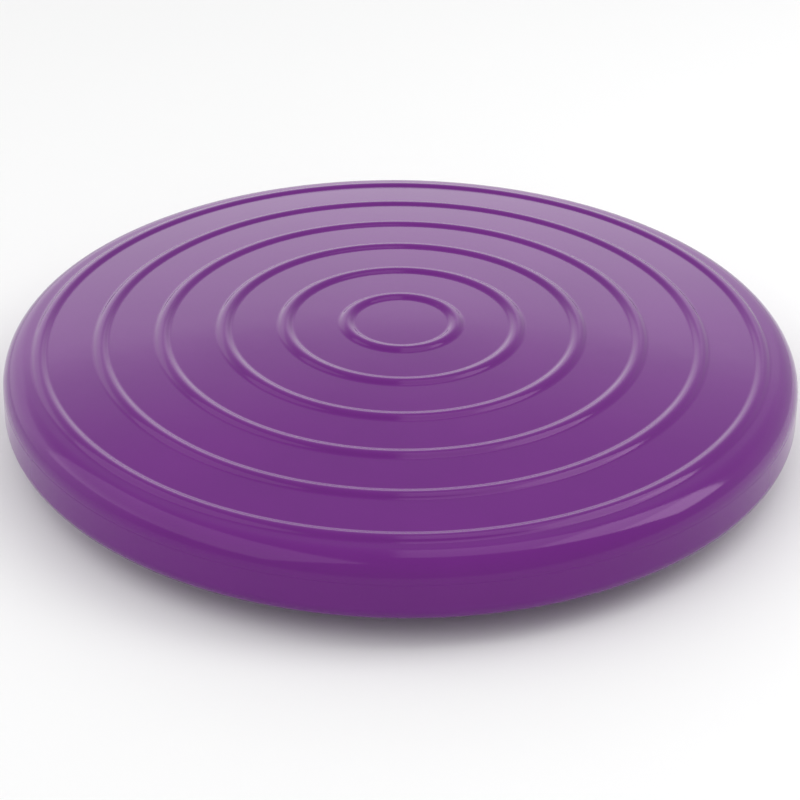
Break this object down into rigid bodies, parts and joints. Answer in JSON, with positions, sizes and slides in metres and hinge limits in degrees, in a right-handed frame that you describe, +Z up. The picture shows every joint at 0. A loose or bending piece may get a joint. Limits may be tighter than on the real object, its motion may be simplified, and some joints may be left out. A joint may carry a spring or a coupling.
{
  "type": "inflatable balance disc",
  "caption": "Low round inflatable cushion for balance training, with a ribbed domed face, a rounded rim, a nubbed underside and a plugged needle valve in the rim.",
  "frame": {"origin": "on the floor below the middle of the disc, at the tip of the middle nub", "axes": "+Z up through the middle of the disc; +Y towards the valve in the rim"},
  "size_m": [0.4, 0.4, 0.0617],
  "materials": {
    "skin": "glossy soft PVC, purple",
    "valve_body": "satin soft plastic, darker purple",
    "valve_rubber": "matt black rubber",
    "valve_plug": "satin hard plastic, darker purple"
  },
  "bodies": {
    "cushion": {"upper_shell": "skin", "lower_shell": "skin", "valve_housing": "valve_body", "valve_core": "valve_rubber"},
    "plug": {"valve_plug": "valve_plug"}
  },
  "joints": [
    {"name": "plug_pull", "type": "slide", "parent": "cushion", "child": "plug", "axis": [0, 1, 0], "range_m": [0, 0.02]}
  ]
}
